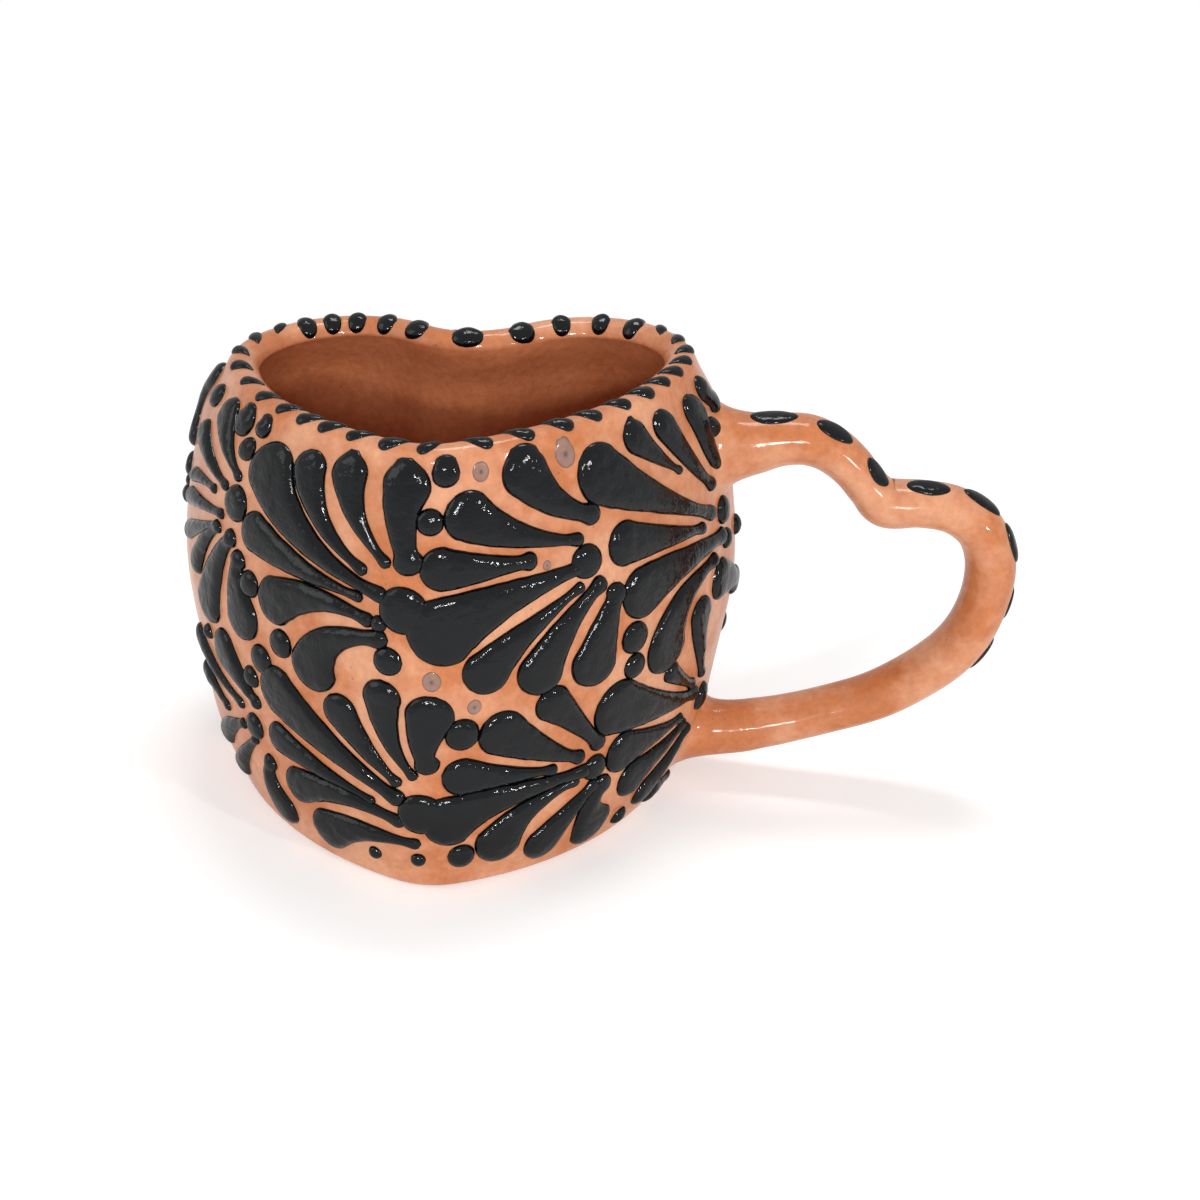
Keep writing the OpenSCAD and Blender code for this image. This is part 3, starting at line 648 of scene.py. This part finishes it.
# Head, middle and tail on the chart, then the widths of head and tail
STROKES = {
    "left_fan": [
        (-0.392, 0.955, -0.350, 0.895, -0.305, 0.850, 0.085, 0.020),
        (-0.445, 0.860, -0.390, 0.830, -0.333, 0.808, 0.075, 0.020),
        (-0.450, 0.745, -0.410, 0.765, -0.363, 0.777, 0.040, 0.018),
        (-0.460, 0.680, -0.400, 0.710, -0.335, 0.735, 0.050, 0.020),
        (-0.450, 0.600, -0.400, 0.650, -0.345, 0.700, 0.050, 0.020),
        (-0.405, 0.560, -0.375, 0.640, -0.340, 0.697, 0.070, 0.022),
        (-0.358, 0.500, -0.335, 0.620, -0.305, 0.697, 0.112, 0.035),
        (-0.270, 0.535, -0.283, 0.610, -0.283, 0.657, 0.120, 0.042),
    ],
    "upper_fan": [
        (-0.240, 0.900, -0.165, 0.790, -0.055, 0.720, 0.146, 0.028),
        (-0.250, 0.750, -0.165, 0.720, -0.083, 0.703, 0.102, 0.020),
        (-0.175, 0.942, -0.140, 0.840, -0.080, 0.765, 0.090, 0.022),
        (-0.112, 0.958, -0.090, 0.870, -0.050, 0.793, 0.088, 0.022),
        (-0.030, 0.955, -0.032, 0.880, -0.022, 0.805, 0.104, 0.050),
        (-0.205, 0.620, -0.140, 0.665, -0.070, 0.657, 0.114, 0.026),
        (-0.142, 0.510, -0.115, 0.585, -0.055, 0.620, 0.124, 0.034),
    ],
    "right_fan": [
        (0.048, 0.895, 0.110, 0.840, 0.184, 0.804, 0.106, 0.024),
        (0.018, 0.790, 0.070, 0.785, 0.118, 0.783, 0.098, 0.032),
        (0.125, 0.960, 0.158, 0.895, 0.205, 0.850, 0.106, 0.038),
        (0.235, 0.918, 0.315, 0.830, 0.428, 0.725, 0.136, 0.028),
        (0.255, 0.762, 0.330, 0.735, 0.402, 0.707, 0.100, 0.022),
        (0.308, 0.962, 0.335, 0.910, 0.368, 0.862, 0.078, 0.016),
        (0.370, 0.955, 0.395, 0.870, 0.437, 0.788, 0.078, 0.026),
        (0.450, 0.945, 0.452, 0.860, 0.480, 0.795, 0.082, 0.042),
        (0.505, 0.965, 0.510, 0.950, 0.515, 0.935, 0.066, 0.050),
        (0.482, 0.887, 0.498, 0.868, 0.512, 0.852, 0.056, 0.040),
    ],
    "heart_wings": [
        (0.020, 0.655, 0.095, 0.712, 0.195, 0.745, 0.158, 0.030),
        (0.032, 0.195, 0.100, 0.235, 0.208, 0.247, 0.132, 0.028),
    ],
    "right_feathers": [
        (0.068, 0.555, 0.120, 0.635, 0.184, 0.699, 0.106, 0.020),
        (0.133, 0.530, 0.165, 0.620, 0.211, 0.692, 0.110, 0.032),
        (0.205, 0.520, 0.220, 0.600, 0.235, 0.657, 0.122, 0.044),
        (0.278, 0.640, 0.360, 0.660, 0.455, 0.650, 0.124, 0.032),
        (0.325, 0.480, 0.355, 0.575, 0.428, 0.611, 0.134, 0.028),
        (0.400, 0.500, 0.410, 0.420, 0.440, 0.325, 0.088, 0.022),
        (0.345, 0.400, 0.375, 0.360, 0.412, 0.318, 0.052, 0.022),
        (0.455, 0.545, 0.490, 0.520, 0.520, 0.490, 0.100, 0.052),
        (0.152, 0.445, 0.185, 0.385, 0.224, 0.310, 0.088, 0.032),
    ],
    "lower_left_feathers": [
        (-0.320, 0.405, -0.285, 0.360, -0.258, 0.330, 0.104, 0.028),
        (-0.430, 0.345, -0.370, 0.315, -0.300, 0.290, 0.060, 0.020),
        (-0.213, 0.275, -0.140, 0.250, -0.068, 0.221, 0.078, 0.016),
        (-0.185, 0.178, -0.110, 0.205, -0.032, 0.187, 0.088, 0.026),
        (-0.140, 0.097, -0.080, 0.130, -0.012, 0.132, 0.102, 0.022),
        (-0.238, 0.085, -0.250, 0.140, -0.243, 0.187, 0.094, 0.032),
        (-0.345, 0.100, -0.310, 0.160, -0.274, 0.221, 0.056, 0.020),
        (-0.375, 0.155, -0.340, 0.200, -0.303, 0.236, 0.060, 0.020),
        (-0.430, 0.260, -0.390, 0.250, -0.350, 0.240, 0.050, 0.020),
    ],
    "lower_fan": [
        (-0.203, 0.395, -0.120, 0.320, -0.034, 0.247, 0.130, 0.032),
        (-0.105, 0.420, -0.070, 0.345, -0.034, 0.287, 0.090, 0.022),
        (-0.050, 0.485, -0.040, 0.390, -0.014, 0.309, 0.090, 0.020),
        (0.005, 0.455, -0.001, 0.390, 0.002, 0.343, 0.106, 0.044),
        (0.045, 0.305, 0.100, 0.290, 0.160, 0.276, 0.094, 0.022),
        (0.090, 0.400, 0.145, 0.335, 0.196, 0.289, 0.110, 0.028),
    ],
    "lower_right_feathers": [
        (0.250, 0.380, 0.335, 0.325, 0.427, 0.282, 0.136, 0.028),
        (0.272, 0.255, 0.330, 0.250, 0.397, 0.241, 0.104, 0.020),
        (0.303, 0.165, 0.350, 0.190, 0.412, 0.214, 0.094, 0.022),
        (0.098, 0.120, 0.135, 0.190, 0.196, 0.226, 0.114, 0.022),
        (0.167, 0.085, 0.195, 0.145, 0.226, 0.196, 0.098, 0.028),
        (0.247, 0.080, 0.232, 0.135, 0.243, 0.187, 0.104, 0.042),
        (0.355, 0.095, 0.390, 0.140, 0.432, 0.186, 0.078, 0.022),
        (0.400, 0.052, 0.430, 0.048, 0.460, 0.044, 0.048, 0.022),
    ],
}
# Round drops, and the small knobs where strokes run together
DOTS = [
    (-0.338, 0.970, 0.075), (-0.287, 0.982, 0.050), (-0.303, 0.920, 0.058), (-0.300, 0.787, 0.088),
    (-0.465, 0.955, 0.065), (-0.256, 0.622, 0.066), (-0.233, 0.455, 0.072), (-0.195, 0.523, 0.068),
    (-0.260, 0.390, 0.052), (-0.375, 0.405, 0.036), (-0.270, 0.258, 0.064), (-0.055, 0.655, 0.038),
    (-0.043, 0.575, 0.066), (-0.026, 0.694, 0.108), (0.020, 0.985, 0.058), (0.002, 0.888, 0.058),
    (0.195, 0.752, 0.078), (0.265, 0.540, 0.077), (0.268, 0.470, 0.062), (0.475, 0.630, 0.050),
    (0.530, 0.620, 0.050), (0.042, 0.412, 0.077), (-0.004, 0.212, 0.104), (0.225, 0.245, 0.064),
    (-0.070, 0.078, 0.032), (-0.008, 0.087, 0.034), (0.048, 0.095, 0.062), (0.315, 0.055, 0.040),
    (0.467, 0.705, 0.066), (0.463, 0.245, 0.068), (0.556, 0.735, 0.066),
]
WASHED = [
    (0.007, 0.540, 0.046), (0.055, 0.475, 0.036), (0.065, 0.980, 0.040), (0.185, 0.980, 0.055),
    (0.142, 0.765, 0.022),
]

# The back repeats the front, turned half way round, except where the handle's roots are
BACK_EDGE = 0.5
ROOT_EDGE = 0.66
BETWEEN_ROOTS = (0.27, 0.66)


def ends(row):
    """Places of a drop, or of a stroke's head and tail."""
    return [row[:2]] if len(row) == 3 else [row[:2], row[4:6]]


def on_back(row):
    for u, v in ends(row):
        w = (u + 2) % 2 - 1
        if abs(u) >= 1 - BACK_EDGE:
            return False
        if 0 <= w <= ROOT_EDGE and not BETWEEN_ROOTS[0] < v < BETWEEN_ROOTS[1]:
            return False
    return True


def turned(row):
    """The same stroke or drop half way round the body."""
    moved = list(row)
    for i in range(1 if len(row) == 3 else 3):
        moved[2 * i] += 1
    return tuple(moved)


TAPER = 1.3
TAIL_FROM = 0.92
TAIL_KNOB = 0.35
KNOB_FROM = 0.85
STROKE_KNOTS = 10


def stroke_knots(row):
    """A stroke's line from head to tail with its width: a fat head, a long thin tail, a knob."""
    if len(row) == 3:
        return [row]
    knots = []
    for i in range(STROKE_KNOTS + 1):
        t = i / STROKE_KNOTS
        a, b, c = (1 - t) * (1 - 2 * t), 4 * t * (1 - t), t * (2 * t - 1)
        narrowing = max(0, 1 - t / TAIL_FROM) ** TAPER
        width = row[7] + (row[6] - row[7]) * narrowing
        width *= 1 + TAIL_KNOB * max(0, (t - KNOB_FROM) / (1 - KNOB_FROM)) ** 2
        u = a * row[0] + b * row[2] + c * row[4]
        v = a * row[1] + b * row[3] + c * row[5]
        knots.append((u, v, width))
    return knots



def make_slip(name, node, strokes):
    bm = bmesh.new()
    for row in strokes:
        add_bead(bm, stroke_knots(row), BEAD_H)
    finish_mesh(bm, name, SLIP, node)


def make_strokes():
    for node, strokes in STROKES.items():
        make_slip(node + "_slip", node, strokes)
    make_slip("drops", "slip_dots", DOTS)
    upper = ("left_fan", "upper_fan", "right_fan")
    rows = [row for name in upper for row in STROKES[name]] + [STROKES["heart_wings"][0]]
    make_slip("back_upper_slip", "back_upper_feathers", [turned(r) for r in rows if on_back(r)])
    rest = ("right_feathers", "lower_left_feathers", "lower_fan", "lower_right_feathers")
    rows = [row for name in rest for row in STROKES[name]] + [STROKES["heart_wings"][1]]
    make_slip("back_lower_slip", "back_lower_feathers", [turned(r) for r in rows if on_back(r)])
    make_slip("back_drops", "back_dots", [turned(dot) for dot in DOTS if on_back(dot)])


DASH_FOOT = 1.030
DASH_TOP = 1.057
DASH_LEAN = 0.026
FAR_SIDE = 0.69
DASHES = (
    (-0.935, -0.870, -0.812, -0.765, -0.716, -0.663, -0.602, -0.535, -0.465, -0.395, -0.325, -0.262, -0.210)
    + (-0.165, -0.114, -0.058, 0.0, 0.065, 0.126, 0.188, 0.240, 0.300, 0.355, 0.405, 0.452, 0.500)
    + (0.550, 0.605, 0.660, 0.718, 0.785, 0.860, 0.935, 1.0)
)
LEAN_BACK = (0.01, 0.68)


def make_rim_dashes():
    bm = bmesh.new()
    for i, u in enumerate(DASHES):
        lean = -DASH_LEAN if LEAN_BACK[0] < u < LEAN_BACK[1] else DASH_LEAN
        size = 1 + 0.25 * noise.noise(Vector((i * 3.7, 0, 0)))
        if abs(u) > FAR_SIDE:
            knots = ((u, 1.036, 0.030), (u, 1.052, 0.050 * size), (u, 1.068, 0.050 * size))
        else:
            knots = (
                (u - lean / 2, DASH_FOOT, 0.033 * size),
                (u, (DASH_FOOT + DASH_TOP) / 2, 0.028 * size),
                (u + lean / 2, DASH_TOP, 0.009),
            )
        add_bead(bm, knots, DASH_H, step=0.3, across=10)
    finish_mesh(bm, "rim_dash_slip", SLIP, "rim_dashes")


SPOTS = [
    (1.62, -8, 7.5, 4.6), (3.72, -22, 6.0, 4.6), (5.62, -28, 6.4, 5.0), (8.15, -16, 7.2, 4.8),
    (9.5, -4, 6.4, 4.8), (10.7, -10, 6.4, 4.6), (12.3, 4, 6.4, 4.6), (13.6, -10, 6.8, 4.6),
]


def make_handle_spots():
    """Oval spots on the outer edge of the handle, domed and round ended."""
    bm = bmesh.new()
    for knot, angle, length, width in SPOTS:
        here = smooth_curve(LOOP, knot + 0.5) - smooth_curve(LOOP, knot - 0.5)
        per_knot = Vector((here.x, here.y)).length
        per_degree = math.radians(HANDLE_D / 2)

        def put(s, t):
            a = 2 * math.pi * s
            reach = math.sin(math.pi * t)
            along = -math.cos(math.pi * t)
            x, y = along * length / 2, math.cos(a) * reach * width / 2
            place = (knot + x / per_knot, angle + y / per_degree)
            if math.sin(a) < 0:
                return handle_skin(*place, -BEAD_SINK)
            edge = (1 - math.hypot(x / (length / 2), y / (width / 2))) * width / 2
            k = min(1, max(0, edge / 1.3))
            return handle_skin(*place, SPOT_H * math.sqrt(max(0, 1 - (1 - k) ** 2)))

        add_patch(bm, 40, 30, put)
    finish_mesh(bm, "handle_spot_slip", SLIP, "handle_spots")


def make_washed_spots():
    bm = bmesh.new()
    pooled = bm.verts.layers.float.new("pooled")
    for u, v, w in WASHED + [turned(spot) for spot in WASHED]:
        r = w / 2 * BODY_H
        made = bmesh.ops.create_grid(bm, x_segments=28, y_segments=16, size=1)["verts"]
        for vert in made:
            s, t = (vert.co.x + 1) / 2, (vert.co.y + 1) / 2
            d = ray(360 * s)
            reach = min(1, t * 1.15)
            p = chart_step((u, v), Vector((d.x * 0.86, d.y)) * r * reach)
            lift = WASH_H * math.sqrt(max(0, 1 - reach**4)) if t * 1.15 <= 1 else -0.3 * (t * 1.15 - 1)
            vert[pooled] = reach
            vert.co = skin(p[0], p[1], lift) * MM
    finish_mesh(bm, "washed_drops", WASH, "washed_spots")


# Studio

CAMERA_AZIMUTH = 1.1516
CAMERA_ELEVATION = 26.7916
CAMERA_ROLL = 3.1888
CAMERA_DISTANCE = 368.6
CAMERA_TARGET = Vector((28.55, -11.54, 49.63))
FOCAL_PIXELS = 2029.1
FRAME_PIXELS = 1200
SENSOR = 36.0


def make_camera():
    az, el, roll = (math.radians(a) for a in (CAMERA_AZIMUTH, CAMERA_ELEVATION, CAMERA_ROLL))
    back = Vector((math.sin(az) * math.cos(el), -math.cos(az) * math.cos(el), math.sin(el)))
    right = (-back).cross(Vector((0, 0, 1))).normalized()
    up = right.cross(-back)
    turned_right = right * math.cos(roll) + up * math.sin(roll)
    turned_up = up * math.cos(roll) - right * math.sin(roll)
    data = bpy.data.cameras.new("camera")
    data.sensor_width = SENSOR
    data.lens = FOCAL_PIXELS / FRAME_PIXELS * SENSOR
    data.clip_start, data.clip_end = 0.01, 20
    camera = bpy.data.objects.new("camera", data)
    bpy.context.scene.collection.objects.link(camera)
    place = (CAMERA_TARGET + back * CAMERA_DISTANCE) * MM
    camera.matrix_world = stand(turned_right, turned_up, back, place)
    bpy.context.scene.camera = camera


def stand(x, y, z, origin):
    """The placing whose axes point along x, y and z."""
    m = Matrix((x, y, z)).transposed().to_4x4()
    m.translation = origin
    return m


LAMPS = (
    ("front_window", (0.16, -1.0, 0.42), (0.07, 0.14), 3.6),
    ("top_panel", (0.05, 0.25, 1.0), (0.4, 0.2), 3.2),
    ("left_panel", (-0.9, -0.3, 0.5), (0.5, 0.7), 1.8),
    ("right_bulb", (0.78, -0.62, 0.32), (0.045, 0.045), 2.2),
    ("front_bulb", (-0.06, -0.95, 0.36), (0.045, 0.045), 2.2),
)
TOP_PANEL_AIM = (0.02, 0.0, 0.05)
LAMP_AIM = (0.0, 0.0, 0.05)
ROOM_LIGHT = 0.42
FLOOR_SIZE = 3.0
FLOOR_DROP = 0.0001
FLOOR_GLOW = 0.28
SHADOW_NEAR, SHADOW_FAR = 0.16, 0.34


def add_lamp(name, place, size, power):
    data = bpy.data.lights.new(name, "AREA")
    data.shape = "RECTANGLE"
    data.size, data.size_y = size
    data.energy = power
    lamp = bpy.data.objects.new(name, data)
    bpy.context.scene.collection.objects.link(lamp)
    lamp.location = place
    aim = TOP_PANEL_AIM if name == "top_panel" else LAMP_AIM
    lamp.rotation_mode = "QUATERNION"
    lamp.rotation_quaternion = (Vector(aim) - Vector(place)).to_track_quat("-Z", "Y")


def make_room():
    """A soft even light, which the camera, gloss and glass see as plain white."""
    world = bpy.data.worlds.new("studio")
    bpy.context.scene.world = world
    f = Finish(world)
    rays = f.add("ShaderNodeLightPath").outputs
    soft = f.add("ShaderNodeBackground", Color=rgb("#ffffff"), Strength=ROOM_LIGHT)
    white = f.add("ShaderNodeBackground", Strength=1.0)
    larger = {"operation": "MAXIMUM"}
    seen = f.add("ShaderNodeMath", larger, i0=rays["Is Camera Ray"], i1=rays["Is Glossy Ray"])
    shown = f.add("ShaderNodeMath", larger, i0=seen.outputs[0], i1=rays["Is Transmission Ray"])
    mix = f.add("ShaderNodeMixShader", i0=shown.outputs[0], i1=soft.outputs[0], i2=white.outputs[0])
    f.add("ShaderNodeOutputWorld", Surface=mix.outputs[0])


def make_floor():
    """White paper that keeps the mug's shadow and runs out to plain white."""
    bm = bmesh.new()
    bmesh.ops.create_grid(bm, x_segments=1, y_segments=1, size=FLOOR_SIZE)
    mesh = bpy.data.meshes.new("floor")
    bm.to_mesh(mesh)
    bm.free()
    floor = bpy.data.objects.new("floor", mesh)
    floor.location = (0, 0, -FLOOR_DROP)
    bpy.context.scene.collection.objects.link(floor)
    f = Finish(bpy.data.materials.new("white_paper_floor"))
    rays = f.add("ShaderNodeLightPath").outputs
    diffuse = f.add("ShaderNodeBsdfDiffuse", Color=rgb("#f4f4f4"))
    glow = f.add("ShaderNodeEmission", Color=rgb("#ffffff"), Strength=FLOOR_GLOW)
    paper = f.add("ShaderNodeAddShader", i0=diffuse.outputs[0], i1=glow.outputs[0])
    white = f.add("ShaderNodeEmission", Color=rgb("#ffffff"), Strength=1.0)
    where = f.add("ShaderNodeTexCoord").outputs["Object"]
    away = f.add("ShaderNodeVectorMath", {"operation": "LENGTH"}, i0=where)
    far = f.add(
        "ShaderNodeMapRange", {"interpolation_type": "SMOOTHSTEP"},
        Value=away.outputs["Value"], From_Min=SHADOW_NEAR, From_Max=SHADOW_FAR,
    )
    wide = f.add("ShaderNodeMixShader", i0=far.outputs["Result"], i1=paper.outputs[0], i2=white.outputs[0])
    larger = {"operation": "MAXIMUM"}
    shown = f.add("ShaderNodeMath", larger, i0=rays["Is Camera Ray"], i1=rays["Is Glossy Ray"])
    seen = f.add("ShaderNodeMixShader", i0=shown.outputs[0], i1=diffuse.outputs[0], i2=wide.outputs[0])
    f.add("ShaderNodeOutputMaterial", Surface=seen.outputs[0])
    mesh.materials.append(f.owner)


def make_studio():
    make_room()
    make_floor()
    for lamp in LAMPS:
        add_lamp(*lamp)


make_body()
make_handle()
make_strokes()
make_rim_dashes()
make_handle_spots()
make_washed_spots()
make_studio()
make_camera()
bpy.context.scene.view_settings.view_transform = "Standard"
